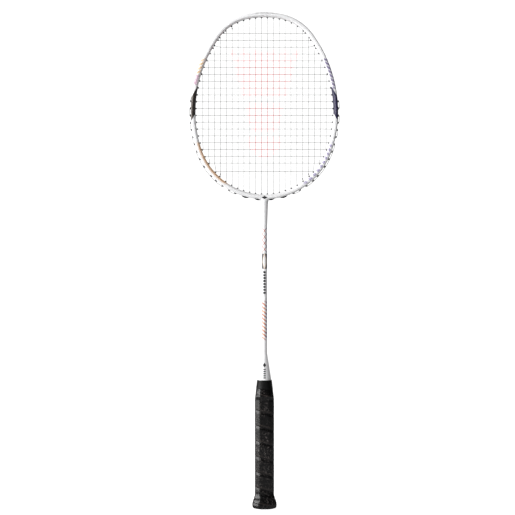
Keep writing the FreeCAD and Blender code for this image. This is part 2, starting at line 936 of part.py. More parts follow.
def cone_blank():
    """The cone's outside without its bores."""
    lower = Part.makeCone(cone_base_diameter / 2, cone_seat_diameter / 2,
                          cone_visible_bottom - handle_length, vector(0, 0, handle_length))
    top_radius = shaft_diameter / 2 + glue_gap + cone_lip
    upper = Part.makeCone(cone_seat_diameter / 2, top_radius,
                          cone_top - cone_visible_bottom, vector(0, 0, cone_visible_bottom))
    return lower.fuse(upper)


def finishing_tape():
    """Thin band that closes the grip's upper end onto the cone."""
    bottom = cone_visible_bottom - tape_length
    band = loft([upper_grip_section(z, tape_thickness) for z in levels(bottom, cone_visible_bottom, 3)])
    return band.cut([grip_outside(), cone_blank()])


def main():
    os.makedirs("parts", exist_ok=True)
    export("frame_hoop", frame_hoop())
    export("t_joint", t_joint())
    export("throat_shell", throat_shell())
    export("shaft", shaft())
    export("cone_cap", cone_cap())
    export("handle_core", handle_core())
    export("butt_cap", butt_cap())
    export("butt_badge", butt_badge())
    export("grip_wrap", grip_wrap())
    export("finishing_tape", finishing_tape())
    export("cap_staples", Part.makeCompound(staple_group(cap_staple_places, 0)))
    export("grip_staple", Part.makeCompound(staple_group(grip_staple_places, 0)))
    export("main_string", main_string())
    export("cross_string", cross_string())
    for name, pieces in grommet_groups().items():
        export(name, Part.makeCompound(pieces))


main()
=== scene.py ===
import math

import bpy
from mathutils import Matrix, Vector


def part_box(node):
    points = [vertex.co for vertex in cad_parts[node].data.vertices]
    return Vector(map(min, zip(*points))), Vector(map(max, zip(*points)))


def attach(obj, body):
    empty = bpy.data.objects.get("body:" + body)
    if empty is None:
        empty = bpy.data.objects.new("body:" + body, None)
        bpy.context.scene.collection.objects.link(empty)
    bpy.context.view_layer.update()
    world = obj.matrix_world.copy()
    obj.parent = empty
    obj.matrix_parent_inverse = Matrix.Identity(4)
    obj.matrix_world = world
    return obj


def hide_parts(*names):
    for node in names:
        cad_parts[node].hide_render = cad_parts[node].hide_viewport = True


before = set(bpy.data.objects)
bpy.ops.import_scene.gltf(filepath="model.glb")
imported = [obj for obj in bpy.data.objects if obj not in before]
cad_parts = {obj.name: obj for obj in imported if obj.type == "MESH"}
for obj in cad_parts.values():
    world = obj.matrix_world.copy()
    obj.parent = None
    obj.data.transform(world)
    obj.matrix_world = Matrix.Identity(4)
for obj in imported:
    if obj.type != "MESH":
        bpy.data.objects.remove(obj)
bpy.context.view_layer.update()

# Lengths below are in millimetres, and pieces are made in metres. The racket stands on its butt,
# +Z runs up the shaft, and its face looks towards -Y.

MM = 0.001


def box_mm(node):
    low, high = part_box(node)
    return low / MM, high / MM


# ---------------------------------------------------------------- sizes

HOOP_LOW, HOOP_HIGH = box_mm("frame_hoop")
HEAD_WIDTH = HOOP_HIGH.x - HOOP_LOW.x
HEAD_TOP = HOOP_HIGH.z
HEAD_BOTTOM = HOOP_LOW.z
HOOP_WIDTH = 6.5
HOOP_HALF = HOOP_WIDTH / 2
HALF_WIDTH = HEAD_WIDTH / 2 - HOOP_HALF
TOP_LEVEL = HEAD_TOP - HOOP_HALF
BOTTOM_LEVEL = HEAD_BOTTOM + HOOP_HALF
WIDEST_FRACTION = 0.533
WIDEST_LEVEL = HEAD_TOP - (HEAD_TOP - HEAD_BOTTOM) * WIDEST_FRACTION
CROWN_RADIUS = 116.85
CROWN_HALF_ANGLE = 10.7
SHOULDER_RADIUS = 67.5
BOTTOM_INSET = 3.5
BOTTOM_RADIUS = HALF_WIDTH - BOTTOM_INSET
DEEP_GROOVE = 1.8
SHALLOW_GROOVE = 0.6
GROOVE_ROW = 10
GROOVE_STEP = 0.35

STRING = 0.68
STRING_RADIUS = STRING / 2
COLUMNS = 11
ROWS = 21
OWN_TOP = 9
OWN_BOTTOM = 8
TWIN_COLUMNS = 4
CROSS_START_COLUMN = 6
CROSS_END_COLUMN = 7
LANE_GAP = 0.04
LANE = STRING_RADIUS + LANE_GAP / 2
OUTER_LANE = LANE + STRING + LANE_GAP
WEAVE_ROOM = 0.03
WEAVE = STRING_RADIUS + WEAVE_ROOM
SIDE_GAP = 9.85
TOP_GAP = 22.2
BOTTOM_GAP = 31.2
LAST_ROW_STRETCH = 1.23
MAIN_PITCH = (HEAD_WIDTH / 2 - HOOP_WIDTH - SIDE_GAP) / (COLUMNS - 0.5)
FIRST_ROW = HEAD_TOP - HOOP_WIDTH - TOP_GAP
LAST_ROW = HEAD_BOTTOM + HOOP_WIDTH + BOTTOM_GAP
ROW_PITCH = (FIRST_ROW - LAST_ROW) / (ROWS - 2 + LAST_ROW_STRETCH)
BED_EDGE = 0.5

BARREL_OVERHANG = 1.3
TURN_STANDOFF = 0.6
TURN_OFFSET = -(HOOP_HALF + BARREL_OVERHANG + TURN_STANDOFF)
FLANGE = 0.5
RAISED_FLANGE = 2.0
HOLE_SPACING = 4.26
SEAT_GAP = 0.08

BED_BEND = 6.0
MOUTH_BEND = 1.2
GROOVE_BEND = 1.0
FREE_BEND = 400.0
KNOT_TURNS = 2.5
KNOT_STEPS = 8
KNOT_START = 1.2
KNOT_GAP = 0.08


# ---------------------------------------------------------------- head outline

def side_radius(centre_x, rise, radius):
    reach = HALF_WIDTH - centre_x
    return (reach ** 2 + rise ** 2 - radius ** 2) / (2 * (reach - radius))


def right_half_arcs():
    """Tangent arcs up the right side: centre x, centre z, radius, first and last normal angle."""
    tilt = math.radians(CROWN_HALF_ANGLE)
    crown_z = TOP_LEVEL - CROWN_RADIUS
    shoulder_x = (CROWN_RADIUS - SHOULDER_RADIUS) * math.sin(tilt)
    shoulder_z = crown_z + (CROWN_RADIUS - SHOULDER_RADIUS) * math.cos(tilt)
    bottom_z = BOTTOM_LEVEL + BOTTOM_RADIUS
    upper = side_radius(shoulder_x, shoulder_z - WIDEST_LEVEL, SHOULDER_RADIUS)
    lower = side_radius(0, WIDEST_LEVEL - bottom_z, BOTTOM_RADIUS)
    upper_x = HALF_WIDTH - upper
    lower_x = HALF_WIDTH - lower
    upper_end = math.degrees(math.atan2(shoulder_z - WIDEST_LEVEL, shoulder_x - upper_x))
    lower_end = math.degrees(math.atan2(bottom_z - WIDEST_LEVEL, -lower_x))
    crown_start = 90 - CROWN_HALF_ANGLE
    return [
        (0, bottom_z, BOTTOM_RADIUS, -90, lower_end),
        (lower_x, WIDEST_LEVEL, lower, lower_end, 0),
        (upper_x, WIDEST_LEVEL, upper, 0, upper_end),
        (shoulder_x, shoulder_z, SHOULDER_RADIUS, upper_end, crown_start),
        (0, crown_z, CROWN_RADIUS, crown_start, 90),
    ]


ARCS = right_half_arcs()


def outline(angle, offset):
    """Point x, z on the right half, this far outside the tube's centreline, by normal angle."""
    for x, z, radius, _, last in ARCS:
        if angle <= last:
            break
    reach = radius + offset
    return x + reach * math.cos(math.radians(angle)), z + reach * math.sin(math.radians(angle))


HALVINGS = 50


def solve(measure, target, low, high):
    """The value between low and high where a rising measure reaches the target."""
    for _ in range(HALVINGS):
        middle = (low + high) / 2
        if measure(middle) < target:
            low = middle
        else:
            high = middle
    return middle


def angle_at_z(z, offset):
    return solve(lambda angle: outline(angle, offset)[1], z, -90, 90)


def angle_at_x(x, offset, upper):
    end = 90 if upper else -90
    share = solve(lambda part: outline(end * (1 - part), offset)[0], x, 0, 1)
    return end * (1 - share)


def distance_along(angle):
    total = 0
    for _, _, radius, first, last in ARCS:
        if angle > first:
            total += radius * math.radians(min(angle, last) - first)
    return total


def angle_along(distance):
    return solve(distance_along, distance, -90, 90)


# ---------------------------------------------------------------- string routes

def row_level(row):
    return LAST_ROW if row == ROWS - 1 else FIRST_ROW - row * ROW_PITCH


GROOVE_END = angle_at_z(row_level(GROOVE_ROW) + GROOVE_STEP * ROW_PITCH, 0)


class Hole:
    """A string hole by its side (-1 left, +1 right) and the outline's normal angle there."""

    def __init__(self, side, angle, twin=False):
        self.side = side
        self.angle = angle
        self.twin = twin

    def point(self, offset, y):
        x, z = outline(self.angle, offset)
        return Vector((self.side * x, y, z))

    def string_offset(self):
        deep = self.angle > GROOVE_END
        floor = HOOP_HALF - (DEEP_GROOVE if deep else SHALLOW_GROOVE)
        seat = floor + (FLANGE if deep or self.twin else RAISED_FLANGE)
        return seat + SEAT_GAP + STRING_RADIUS


SPREAD_ROUNDS = 200


def spread(angles):
    """Moves neighbouring holes apart along the hoop until their flanges clear each other."""
    order = sorted(angles, key=angles.get)
    place = {name: distance_along(angles[name]) for name in order}
    for _ in range(SPREAD_ROUNDS):
        for name, after in zip(order, order[1:]):
            missing = HOLE_SPACING - (place[after] - place[name])
            if missing > 0:
                place[name] -= missing / 2
                place[after] += missing / 2
    return {name: angle_along(place[name]) for name in order}


def hole_angles():
    """Normal angles of one side's own holes, and the row whose hole each outer main shares."""
    angles = {("row", row): angle_at_z(row_level(row), TURN_OFFSET) for row in range(ROWS)}
    shared = {}
    for end, own in (("top", OWN_TOP), ("bottom", OWN_BOTTOM)):
        for column in range(1, COLUMNS + 1):
            angle = angle_at_x((column - 0.5) * MAIN_PITCH, TURN_OFFSET, end == "top")
            if column <= own:
                angles[end, column] = angle
                continue
            free = [row for row in range(ROWS) if row not in shared.values()]
            shared[end, column] = min(free, key=lambda row: abs(angles["row", row] - angle))
    return spread(angles), shared


def make_holes():
    """Every hole by side, kind and number; outer mains share the nearest cross's hole."""
    angles, shared = hole_angles()
    holes = {}
    for side in (-1, 1):
        for (kind, number), angle in angles.items():
            twin = kind == "bottom" and number <= TWIN_COLUMNS
            holes[side, kind, number] = Hole(side, angle, twin)
        for (end, column), row in shared.items():
            holes[side, end, column] = holes[side, "row", row]
    return holes


HOLES = make_holes()


def behind(side, column, row):
    """+1 where a main passes behind a cross, -1 where it passes in front."""
    number = COLUMNS + column - 1 if side > 0 else COLUMNS - column
    return 1 if (number + row) % 2 == 0 else -1


def they_cross(side, column, row):
    x = (column - 0.5) * MAIN_PITCH
    top = HOLES[side, "top", column].point(TURN_OFFSET, 0).z
    bottom = HOLES[side, "bottom", column].point(TURN_OFFSET, 0).z
    end = abs(HOLES[side, "row", row].point(TURN_OFFSET, 0).x)
    return bottom + BED_EDGE < row_level(row) < top - BED_EDGE and x < end - BED_EDGE


def main_run(side, column):
    x = side * (column - 0.5) * MAIN_PITCH
    points = [(HOLES[side, "top", column].point(TURN_OFFSET, -LANE), MOUTH_BEND)]
    for row in range(ROWS):
        if they_cross(side, column, row):
            y = WEAVE * behind(side, column, row)
            points.append((Vector((x, y, row_level(row))), BED_BEND))
    points.append((HOLES[side, "bottom", column].point(TURN_OFFSET, -LANE), MOUTH_BEND))
    return points


def cross_run(row):
    points = [(HOLES[-1, "row", row].point(TURN_OFFSET, LANE), MOUTH_BEND)]
    columns = [(-1, column) for column in range(COLUMNS, 0, -1)]
    columns += [(1, column) for column in range(1, COLUMNS + 1)]
    for side, column in columns:
        if they_cross(side, column, row):
            x = side * (column - 0.5) * MAIN_PITCH
            points.append((Vector((x, -WEAVE * behind(side, column, row), row_level(row))), BED_BEND))
    points.append((HOLES[1, "row", row].point(TURN_OFFSET, LANE), MOUTH_BEND))
    return points


def groove_run(start, end, y, middle_y):
    points = [(start.point(start.string_offset(), y), GROOVE_BEND)]
    if start.side == end.side:
        first = distance_along(start.angle)
        last = distance_along(end.angle)
        count = max(1, round(abs(last - first) / ROW_PITCH))
        for step in range(1, count):
            share = step / count
            offset = start.string_offset() * (1 - share) + end.string_offset() * share
            x, z = outline(angle_along(first + (last - first) * share), offset)
            points.append((Vector((start.side * x, middle_y, z)), FREE_BEND))
    points.append((end.point(end.string_offset(), y), GROOVE_BEND))
    return points


def knot(hole, run):
    """Turns of a string's end round the main beside it, just inside its hole."""
    first = run[0][0]
    along = (run[1][0] - first).normalized()
    reach = STRING + KNOT_GAP
    across = Vector((0, 1, 0))
    sideways = along.cross(across).normalized()
    points = [(hole.point(TURN_OFFSET, LANE), MOUTH_BEND)]
    for step in range(int(KNOT_TURNS * KNOT_STEPS) + 1):
        turn = math.tau * step / KNOT_STEPS
        centre = first + along * (KNOT_START + step / KNOT_STEPS * reach)
        swing = across * math.cos(turn) + sideways * math.sin(turn)
        points.append((centre + swing * reach, GROOVE_BEND))
    return points


def half_main_route(side):
    points = []
    for column in range(1, COLUMNS + 1):
        run = main_run(side, column)
        leaving = "bottom" if column % 2 else "top"
        points += run if column % 2 else reversed(run)
        if column < COLUMNS:
            here, there = HOLES[side, leaving, column], HOLES[side, leaving, column + 1]
            points += groove_run(here, there, -LANE, -LANE)
    tie = HOLES[side, "bottom", OWN_BOTTOM]
    outside = groove_run(HOLES[side, "bottom", COLUMNS], tie, -LANE, -OUTER_LANE)
    outside[-1] = (tie.point(tie.string_offset(), LANE), GROOVE_BEND)
    return points + outside + knot(tie, list(reversed(main_run(side, OWN_BOTTOM))))


def main_route():
    over_top = groove_run(HOLES[-1, "top", 1], HOLES[1, "top", 1], -LANE, -LANE)
    return list(reversed(half_main_route(-1))) + over_top + half_main_route(1)


def cross_route():
    start = HOLES[-1, "top", CROSS_START_COLUMN]
    end = HOLES[1, "bottom", CROSS_END_COLUMN]
    route = list(reversed(knot(start, main_run(-1, CROSS_START_COLUMN))))
    route += groove_run(start, HOLES[-1, "row", 0], LANE, LANE)
    for row in range(ROWS):
        side = 1 if row % 2 == 0 else -1
        run = cross_run(row)
        route += run if side > 0 else reversed(run)
        if row < ROWS - 1:
            route += groove_run(HOLES[side, "row", row], HOLES[side, "row", row + 1], LANE, LANE)
    route += groove_run(HOLES[1, "row", ROWS - 1], end, LANE, OUTER_LANE)
    return route + knot(end, list(reversed(main_run(1, CROSS_END_COLUMN))))


STRAIGHT = 1e-4
ROOM_SHARE = 0.45
ARC_STEP = math.radians(14)
LEAST_ARC_STEPS = 3


def rounded_line(route):
    """Points along a route whose corners are rounded to arcs that their two runs leave room for."""
    line = [route[0][0]]
    for (before, _), (corner, radius), (after, _) in zip(route, route[1:], route[2:]):
        into = (corner - before).normalized()
        out = (after - corner).normalized()
        half_turn = into.angle(out, 0) / 2
        if half_turn < STRAIGHT:
            continue
        room = ROOM_SHARE * min((corner - before).length, (after - corner).length)
        radius = min(radius, room / math.tan(half_turn))
        inward = (out - into).normalized()
        centre = corner + inward * (radius / math.cos(half_turn))
        steps = max(LEAST_ARC_STEPS, math.ceil(half_turn * 2 / ARC_STEP))
        chord = (into + out).normalized()
        for step in range(steps + 1):
            tilt = half_turn * (2 * step / steps - 1)
            line.append(centre - inward * radius * math.cos(tilt) + chord * radius * math.sin(tilt))
    line.append(route[-1][0])
    return line


# ---------------------------------------------------------------- mesh helpers

def new_piece(name, points, faces, node, slot, material):
    """A mesh in metres that rides on the racket and stands for a CAD node."""
    mesh = bpy.data.meshes.new(name)
    mesh.from_pydata([tuple(c * MM for c in p) for p in points], [], faces)
    mesh.validate()
    mesh.update()
    mesh.shade_smooth()
    piece = bpy.data.objects.new(name, mesh)
    bpy.context.scene.collection.objects.link(piece)
    mesh.materials.append(material)
    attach(piece, "root")
    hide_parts(*node)


def string_mesh(line, radius, sides):
    """Closed round tube along a line of points, with rings that turn as little as they can."""
    points = []
    faces = []
    across = None
    for number, place in enumerate(line):
        ahead = line[min(number + 1, len(line) - 1)]
        back = line[max(number - 1, 0)]
        along = (ahead - back).normalized()
        if across is None:
            across = along.orthogonal().normalized()
        across = (across - along * across.dot(along)).normalized()
        other = along.cross(across)
        for side in range(sides):
            turn = math.tau * side / sides
            points.append(place + (across * math.cos(turn) + other * math.sin(turn)) * radius)
    for ring in range(len(line) - 1):
        for side in range(sides):
            a = ring * sides + side
            b = ring * sides + (side + 1) % sides
            faces.append((a, b, b + sides, a + sides))
    last = (len(line) - 1) * sides
    faces.append(tuple(range(sides))[::-1])
    faces.append(tuple(last + side for side in range(sides)))
    return points, faces


# ---------------------------------------------------------------- materials

class Paint:
    """A material and short names for the nodes that its patterns are made of, in millimetres."""

    def __init__(self, name, color, roughness, **sockets):
        self.material = bpy.data.materials.new(name)
        self.material.use_nodes = True
        self.tree = self.material.node_tree
        self.shader = self.tree.nodes["Principled BSDF"]
        self.shader.inputs["Base Color"].default_value = (*color, 1)
        self.shader.inputs["Roughness"].default_value = roughness
        for socket, value in sockets.items():
            self.shader.inputs[socket.replace("_", " ")].default_value = value
        coordinates = self.tree.nodes.new("ShaderNodeTexCoord").outputs["Object"]
        self.place = self.vector("MULTIPLY", coordinates, (1 / MM,) * 3)
        split = self.tree.nodes.new("ShaderNodeSeparateXYZ")
        self.plug(split.inputs[0], self.place)
        self.x, self.y, self.z = split.outputs

    def plug(self, socket, value):
        if isinstance(value, bpy.types.NodeSocket):
            self.tree.links.new(value, socket)
        else:
            socket.default_value = value

    def vector(self, operation, *values):
        made = self.tree.nodes.new("ShaderNodeVectorMath")
        made.operation = operation
        for socket, value in zip(made.inputs, values):
            self.plug(socket, value)
        return made.outputs[0]

    def stretched(self, x, y, z):
        return self.vector("MULTIPLY", self.place, (x, y, z))

    def math(self, operation, *values, clamp=False):
        made = self.tree.nodes.new("ShaderNodeMath")
        made.operation = operation
        made.use_clamp = clamp
        for socket, value in zip(made.inputs, values):
            self.plug(socket, value)
        return made.outputs[0]

    def plus(self, value, other, clamp=False):
        return self.math("ADD", value, other, clamp=clamp)

    def minus(self, value, other):
        return self.math("SUBTRACT", value, other)

    def times(self, value, other, clamp=False):
        return self.math("MULTIPLY", value, other, clamp=clamp)

    def over(self, value, other, clamp=False):
        return self.math("DIVIDE", value, other, clamp=clamp)

    def absolute(self, value):
        return self.math("ABSOLUTE", value)

    def rising(self, value, slope, start, clamp=False):
        return self.math("MULTIPLY_ADD", value, slope, start, clamp=clamp)

    def strength(self, mask, low, high):
        """Low where the mask is 0, high where it is 1."""
        return self.math("MULTIPLY_ADD", mask, high - low, low)

    def inverse(self, mask):
        return self.minus(1.0, mask)

    def repeat(self, value, pitch):
        """How far along its repeat a value lies, from 0 to 1."""
        return self.math("FRACT", self.over(value, pitch))

    def step(self, value, start, soft=0.25):
        """0 below start, 1 above start + soft."""
        return self.over(self.minus(value, start), soft, clamp=True)

    def below(self, value, end, soft=0.25):
        return self.inverse(self.step(value, end, soft))

    def between(self, value, low, high, soft=0.25):
        return self.times(self.step(value, low, soft), self.below(value, high, soft))

    def all(self, *masks):
        result = masks[0]
        for mask in masks[1:]:
            result = self.times(result, mask)
        return result

    def noise(self, scale, detail=2.0, place=None):
        made = self.tree.nodes.new("ShaderNodeTexNoise")
        self.plug(made.inputs["Vector"], self.place if place is None else place)
        made.inputs["Scale"].default_value = scale
        made.inputs["Detail"].default_value = detail
        return made.outputs["Fac"]

    def cells(self, scale, feature="F1", randomness=1.0, place=None):
        made = self.tree.nodes.new("ShaderNodeTexVoronoi")
        made.feature = feature
        self.plug(made.inputs["Vector"], self.place if place is None else place)
        made.inputs["Scale"].default_value = scale
        made.inputs["Randomness"].default_value = randomness
        return made.outputs["Distance"]

    def mix(self, mask, under, over):
        made = self.tree.nodes.new("ShaderNodeMix")
        made.data_type = "RGBA"
        self.plug(made.inputs[0], mask)
        for socket, value in ((made.inputs[6], under), (made.inputs[7], over)):
            self.plug(socket, value if isinstance(value, bpy.types.NodeSocket) else (*value, 1))
        return made.outputs[2]

    def color(self, value):
        self.plug(self.shader.inputs["Base Color"], value)

    def roughness(self, low, high, mask):
        self.plug(self.shader.inputs["Roughness"], self.strength(mask, low, high))

    def bump(self, height):
        made = self.tree.nodes.new("ShaderNodeBump")
        made.inputs["Strength"].default_value = 1.0
        made.inputs["Distance"].default_value = MM
        self.plug(made.inputs["Height"], height)
        self.plug(self.shader.inputs["Normal"], made.outputs[0])


WHITE = (0.86, 0.86, 0.87)
GOLD = (0.60, 0.30, 0.05)
ORANGE = (0.76, 0.26, 0.08)
PALE_ORANGE = (0.76, 0.42, 0.18)
PINK = (0.50, 0.29, 0.40)
LILAC = (0.15, 0.11, 0.26)
PALE_LILAC = (0.38, 0.34, 0.50)
NAVY = (0.018, 0.016, 0.055)
BROWN_BLACK = (0.012, 0.009, 0.007)
PAINTED_LIGHT_WARM_GREY = (0.065, 0.048, 0.034)
INK = (0.015, 0.015, 0.018)
NYLON = (0.33, 0.33, 0.325)
RED_INK = (0.66, 0.05, 0.05)
BROWN_RED = (0.42, 0.10, 0.06)
BLACK = (0.002, 0.002, 0.002)
DEEPEST_BLACK = (0.0008, 0.0008, 0.0008)
PAINTED_SHADE_BLACK = (0.001, 0.001, 0.001)
SKIN_BLACK = (0.003, 0.0025, 0.0025)
PAINTED_GLINT_GREY = (0.090, 0.078, 0.074)
EDGE_HIGHLIGHT_GREY = (0.030, 0.023, 0.021)
TAPE_BLACK = (0.004, 0.004, 0.004)
TAPE_GREY = (0.006, 0.006, 0.006)
WOOD = (0.55, 0.38, 0.22)
DARK_WOOD = (0.40, 0.25, 0.13)
PALE_WOOD = (0.62, 0.45, 0.27)
STEEL = (0.60, 0.60, 0.62)

# Printed bands, by their lowest and highest levels up the racket.
PINK_BAND = (575.5, 589)
GOLD_BAND = (588, 609)
VIOLET_BAND = (570, 611)
LOW_BAND = (440, 496)
THREAD_BAND = (536, 562)
LATTICE_BAND = (347, 381)
LENS_BAND = (326, 346.5)
SHAFT_BARS = (291, 323)
MOTTLED_BAND = (228, 280)
CONE_BARS = (177.5, 190.5)

# Both side panels slope as they cross the tube from its inner edge to its outer one.
PANEL_TOP = 575.5
PANEL_TOP_SLOPE = -15.0
PANEL_BOTTOM = 537.0
PANEL_BOTTOM_SLOPE = -10.5

HEAD_SIDE = 45.0
SHAFT_SIDE = 6.0
BLOCK_PITCH = 5.6
BLOCK_SLANT = 4.0
PANEL_RIDGES = 7.0
THREAD_PITCH = 1.5
LATTICE_HALF_PITCH = 4.2
LATTICE_SLOPE = 0.78
LENS_RISE = 21.0
LENS_BULGE = 2.0
LENS_TIP = 0.35
SHAFT_BAR_PITCH = 4.0
MOTTLE_PITCH = 5.2
MOTTLE_SLANT = 0.8
DASH_PITCH = 1.7
CONE_BAR_PITCH = 2.9
HOLE_SCALE = 0.42


def offset_from_centreline(paint):
    """How far outside the tube's centreline a point lies, by the three arcs of the head's sides."""
    width = paint.absolute(paint.x)
    offsets = []
    for x, z, radius, _, _ in ARCS[:3]:
        across = paint.minus(width, x)
        up = paint.minus(paint.z, z)
        square = paint.plus(paint.times(across, across), paint.times(up, up))
        offsets.append(paint.minus(paint.math("SQRT", square), radius))
    bottom, lower, upper = offsets
    joint = outline(ARCS[0][4], 0)[1]
    above_joint = paint.math("GREATER_THAN", paint.z, joint)
    above_widest = paint.math("GREATER_THAN", paint.z, WIDEST_LEVEL)
    lower = paint.math("MULTIPLY_ADD", above_joint, paint.minus(lower, bottom), bottom)
    return paint.math("MULTIPLY_ADD", above_widest, paint.minus(upper, lower), lower)


def head_bands(paint, color, left, right, across):
    """Coloured bands down both sides; across runs from 0 at the tube's inner edge to 1 outside."""
    slant = paint.plus(paint.z, paint.times(across, BLOCK_SLANT))
    blocks = paint.between(paint.repeat(slant, BLOCK_PITCH), 0.12, 0.72, soft=0.08)
    speckle = paint.step(paint.cells(0.9), 0.38, soft=0.12)

    gold = paint.all(left, paint.between(paint.z, *GOLD_BAND, soft=5), paint.step(across, 0.15, soft=0.3))
    gold = paint.all(gold, paint.strength(speckle, 0.6, 0.9), paint.strength(blocks, 0.25, 0.95))
    color = paint.mix(gold, color, GOLD)
    pink = paint.all(left, paint.between(paint.z, *PINK_BAND, soft=2), paint.step(across, 0.2, soft=0.2))
    color = paint.mix(paint.all(pink, paint.strength(speckle, 0.4, 0.9)), color, PINK)
    violet = paint.between(paint.z, *VIOLET_BAND, soft=2)
    violet = paint.all(right, violet, paint.between(across, 0.22, 0.9, soft=0.08))
    color = paint.mix(paint.all(violet, paint.strength(blocks, 0.3, 0.85)), color, LILAC)

    low_band = paint.between(paint.z, *LOW_BAND, soft=4)
    tan = paint.all(left, low_band, paint.below(across, 0.35, soft=0.35))
    color = paint.mix(paint.all(tan, paint.strength(speckle, 0.6, 0.9)), color, PALE_ORANGE)
    low_violet = paint.all(right, low_band, paint.between(across, 0.14, 0.66, soft=0.06))
    return paint.mix(paint.all(low_violet, blocks), color, PALE_LILAC)


def side_panels(paint, color, left, right, across):
    """A ridged dark panel on the left, its outer half painted lighter as a painted highlight, and a navy
    one with a dotted thread on the right.
    """
    top = paint.rising(across, PANEL_TOP_SLOPE, PANEL_TOP)
    bottom = paint.rising(across, PANEL_BOTTOM_SLOPE, PANEL_BOTTOM)
    under_top = paint.step(paint.minus(top, paint.z), 0)
    panel = paint.all(under_top, paint.step(paint.minus(paint.z, bottom), 0))
    ridge = paint.math("FRACT", paint.times(across, PANEL_RIDGES))
    ridges = paint.between(ridge, 0.3, 0.8, soft=0.15)
    # Painted highlight: the left panel's outer half is lighter warm grey with ridges, where the light
    # falls on it. The inner half keeps the dark paint, which is partly painted shade.
    outer = paint.step(across, 0.56, soft=0.1)
    brown = paint.mix(paint.all(outer, paint.strength(ridges, 0.65, 1.0)), BROWN_BLACK, PAINTED_LIGHT_WARM_GREY)
    dots = paint.between(paint.repeat(paint.z, THREAD_PITCH), 0.25, 0.7, soft=0.15)
    line = paint.between(across, 0.38, 0.5, soft=0.05)
    thread = paint.all(dots, line, paint.between(paint.z, *THREAD_BAND, soft=1))
    color = paint.mix(paint.all(left, panel), color, brown)
    return paint.mix(paint.all(right, panel), color, paint.mix(thread, NAVY, PALE_LILAC))


def shaft_decals(paint, color):
    """Bands up the shaft: crossed lines, a lens, short bars and a mottled stretch."""
    width = paint.absolute(paint.x)
    near_shaft = paint.math("LESS_THAN", width, SHAFT_SIDE)
    zigzag = paint.times(paint.math("PINGPONG", paint.z, LATTICE_HALF_PITCH), LATTICE_SLOPE)
    apart = paint.absolute(paint.minus(width, zigzag))
    lattice = paint.all(near_shaft, paint.between(paint.z, *LATTICE_BAND, soft=2))
    lattice = paint.all(lattice, paint.below(apart, 0.3, soft=0.35))
    color = paint.mix(lattice, color, paint.mix(paint.step(paint.x, 0.6, soft=1.6), BROWN_RED, LILAC))

    rise = paint.over(paint.minus(paint.z, LENS_BAND[0]), LENS_RISE, clamp=True)
    bulge = paint.times(paint.math("SINE", paint.times(rise, math.pi)), LENS_BULGE)
    edge = paint.minus(width, paint.plus(bulge, LENS_TIP))
    lens = paint.all(near_shaft, paint.between(paint.z, *LENS_BAND, soft=0.8))
    color = paint.mix(paint.all(lens, paint.step(edge, 0.1, soft=0.2)), color, INK)
    gold = paint.all(lens, paint.between(edge, -0.6, -0.1, soft=0.2))
    color = paint.mix(paint.times(gold, 0.8), color, GOLD)

    bars = paint.between(paint.repeat(paint.z, SHAFT_BAR_PITCH), 0.06, 0.74, soft=0.06)
    bars = paint.all(bars, paint.between(paint.x, -1.9, 1.5), paint.between(paint.z, *SHAFT_BARS))
    color = paint.mix(bars, color, INK)

    mottle = paint.noise(0.55, detail=3.0)
    warm = paint.mix(paint.step(mottle, 0.48, soft=0.06), ORANGE, BROWN_RED)
    warm = paint.mix(paint.step(paint.x, 0.9, soft=1.2), warm, LILAC)
    slant = paint.plus(paint.z, paint.times(paint.x, MOTTLE_SLANT))
    flecks = paint.between(paint.repeat(slant, MOTTLE_PITCH), 0.1, 0.6, soft=0.08)
    print_strength = paint.times(flecks, paint.rising(mottle, 0.9, 0.4), clamp=True)
    band = paint.all(near_shaft, paint.between(paint.z, *MOTTLED_BAND, soft=4))
    return paint.mix(paint.all(band, print_strength), color, warm)


def crown_dashes(paint, color):
    """A row of short dashes round the top of the head, with a gap on each side of its middle."""
    width = paint.absolute(paint.x)
    dashes = paint.between(paint.repeat(paint.x, DASH_PITCH), 0.15, 0.75, soft=0.1)
    groups = paint.plus(paint.between(width, 7.8, 13.6), paint.below(width, 6.2), clamp=True)
    line = paint.between(paint.z, HEAD_TOP - 1.9, HEAD_TOP - 0.7, soft=0.15)
    return paint.mix(paint.times(paint.all(dashes, groups, line), 0.8), color, INK)


def throat_diamond(paint, color):
    height = paint.absolute(paint.minus(paint.z, HEAD_BOTTOM + 2.3))
    diamond = paint.plus(paint.times(paint.absolute(paint.x), 0.55), height)
    return paint.mix(paint.below(diamond, 2.1, soft=0.2), color, INK)


def lacquer():
    """White lacquer with the racket's printed bands under a clear coat, and a painted highlight on the
    left side panel.
    """
    paint = Paint("white_lacquer", WHITE, 0.32, Coat_Weight=0.6, Coat_Roughness=0.06)
    on_head = paint.math("GREATER_THAN", paint.absolute(paint.x), HEAD_SIDE)
    left = paint.all(paint.math("LESS_THAN", paint.x, 0.0), on_head)
    right = paint.all(paint.math("GREATER_THAN", paint.x, 0.0), on_head)
    across = paint.over(paint.plus(offset_from_centreline(paint), HOOP_HALF), HOOP_WIDTH)
    color = head_bands(paint, WHITE, left, right, across)
    color = side_panels(paint, color, left, right, across)
    color = shaft_decals(paint, color)
    color = crown_dashes(paint, color)
    paint.color(throat_diamond(paint, color))
    paint.roughness(0.26, 0.4, paint.noise(0.12))
    paint.bump(paint.times(paint.noise(0.5, detail=1.0), 0.02))
    return paint.material


